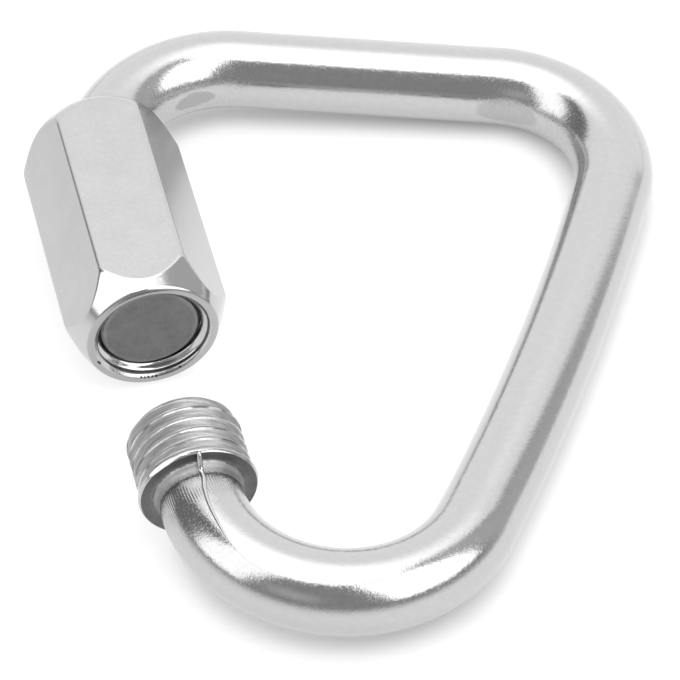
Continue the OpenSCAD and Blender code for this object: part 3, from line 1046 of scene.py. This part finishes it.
def light_studio():
    """Soft boxes, backdrop and dim gaps as one surrounding light; the camera sees white past the floor."""
    right, away, up = table_axes()
    to, lean = math.radians(OVERHEAD_LEANS_TO), math.radians(OVERHEAD_LEAN)
    overhead = math.cos(lean) * up + math.sin(lean) * (math.sin(to) * right + math.cos(to) * away)
    world = bpy.data.worlds.new("studio")
    bpy.context.scene.world = world
    world.use_nodes = True
    tree = world.node_tree
    tree.nodes.clear()

    ray = add(tree, "TexCoord").outputs["Generated"]
    to_right, to_back, to_top, to_overhead = (
        add(tree, "VectorMath", {0: ray, 1: tuple(axis)}, operation="DOT_PRODUCT")
        for axis in (right, away, up, overhead))
    azimuth = add(tree, "Math", {0: to_right, 1: to_back}, operation="ARCTAN2")
    elevation = add(tree, "Math", {0: to_top}, operation="ARCSINE")
    leaning = add(tree, "Math", {0: to_overhead}, operation="ARCCOSINE")
    # Each light is where it lies within its half angles, every one with a soft edge
    lights = []
    for panel in PANELS:
        aside = add(tree, "Math", {0: azimuth, 1: math.radians(panel.azimuth)}, operation="SUBTRACT")
        turn = add(tree, "Math", {0: aside, 1: math.pi, 2: -math.pi}, operation="WRAP")
        across = add(tree, "Math", {0: turn}, operation="ABSOLUTE")
        rise = add(tree, "Math", {0: elevation, 1: math.radians(panel.elevation)}, operation="SUBTRACT")
        reach = add(tree, "Math", {0: rise, 1: -panel.widen, 2: across}, operation="MULTIPLY_ADD")
        height = add(tree, "Math", {0: rise}, operation="ABSOLUTE")
        lights.append((panel.level, [(reach, panel.half_width, panel.soft_side),
                                     (height, panel.half_height, panel.soft_top)]))
    lights.append((OVERHEAD_LEVEL, [(leaning, OVERHEAD_HALF, OVERHEAD_SOFT)]))
    level = DIM_ROOM
    for light_level, limits in lights:
        cover = 1.0
        for offset, half, soft in limits:
            share = add(tree, "MapRange", {
                "Value": offset, "From Min": math.radians(half - soft), "From Max": math.radians(half + soft),
                "To Min": 1.0, "To Max": 0.0}, interpolation_type="SMOOTHSTEP")
            cover = add(tree, "Math", {0: share, 1: cover}, operation="MULTIPLY")
        level = add(tree, "Mix", {"Factor": cover, "A": level, "B": light_level}, data_type="FLOAT")
    seen = add(tree, "LightPath").outputs["Is Camera Ray"]
    strength = add(tree, "Mix", {"Factor": seen, "A": level, "B": 1.0}, data_type="FLOAT")
    light = add(tree, "Background", {"Color": linear("#FFFFFF"), "Strength": strength})
    add(tree, "OutputWorld", {"Surface": light})


def aim(thing, azimuth, elevation, roll, distance):
    """Points a camera or lamp at the link's middle; azimuth 0 is in front, positive to the right."""
    right, away, up = table_axes()
    turn, rise, roll = (math.radians(v) for v in (azimuth, elevation, roll))
    back = math.cos(rise) * (math.sin(turn) * right - math.cos(turn) * away) + math.sin(rise) * up
    level = unit(np.cross(up, back))
    above = np.cross(back, level)
    side = level * math.cos(roll) + above * math.sin(roll)
    top = above * math.cos(roll) - level * math.sin(roll)
    eye = (CAMERA_TARGET + back * distance) * MM
    thing.matrix_world = Matrix.Translation(Vector(eye)) @ Matrix((side, top, back)).transposed().to_4x4()


def place_camera():
    """Camera at the photograph's angle."""
    lens = bpy.data.cameras.new("camera")
    lens.lens = CAMERA_LENS
    lens.sensor_width = CAMERA_SENSOR
    lens.sensor_fit = "HORIZONTAL"
    lens.clip_start = 0.01
    lens.clip_end = 20.0
    camera = put("camera", lens)
    aim(camera, CAMERA_AZIMUTH, CAMERA_ELEVATION, CAMERA_ROLL, CAMERA_DISTANCE)
    bpy.context.scene.camera = camera


# Lamp that gives the shadows their direction: degrees, distance in millimetres, size in metres, watts
LAMP_AZIMUTH = 160.0
LAMP_ELEVATION = 48.0
LAMP_DISTANCE = 900.0
LAMP_SIZE = 0.5
LAMP_POWER = 2.5


def hang_lamp():
    """Soft lamp behind the link; it shapes the shadows and isn't mirrored in the steel."""
    light = bpy.data.lights.new("soft_lamp", "AREA")
    light.shape = "DISK"
    light.size = LAMP_SIZE
    light.energy = LAMP_POWER
    lamp = put("soft_lamp", light)
    aim(lamp, LAMP_AZIMUTH, LAMP_ELEVATION, 0.0, LAMP_DISTANCE)
    lamp.visible_glossy = False


place_camera()
lay_floor()
light_studio()
hang_lamp()
bpy.context.scene.view_settings.view_transform = "Standard"

bar_steel = polished_stainless_steel()
thread_steel = rolled_thread_steel()
raw_steel = forged_steel_skin()
satin_steel = satin_drawn_steel()
turned_steel = turned_bright_steel()
sweep = sweep_tree()
thread = thread_tree()

body = link_body(sweep, thread, bar_steel, thread_steel, raw_steel)
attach(body, "link")
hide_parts("link_body")

flash = flash_line(sweep, bar_steel)
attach(flash, "link")

sleeve = hex_sleeve(thread, satin_steel, turned_steel, turned_steel)
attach(sleeve, "sleeve")
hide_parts("hex_sleeve")
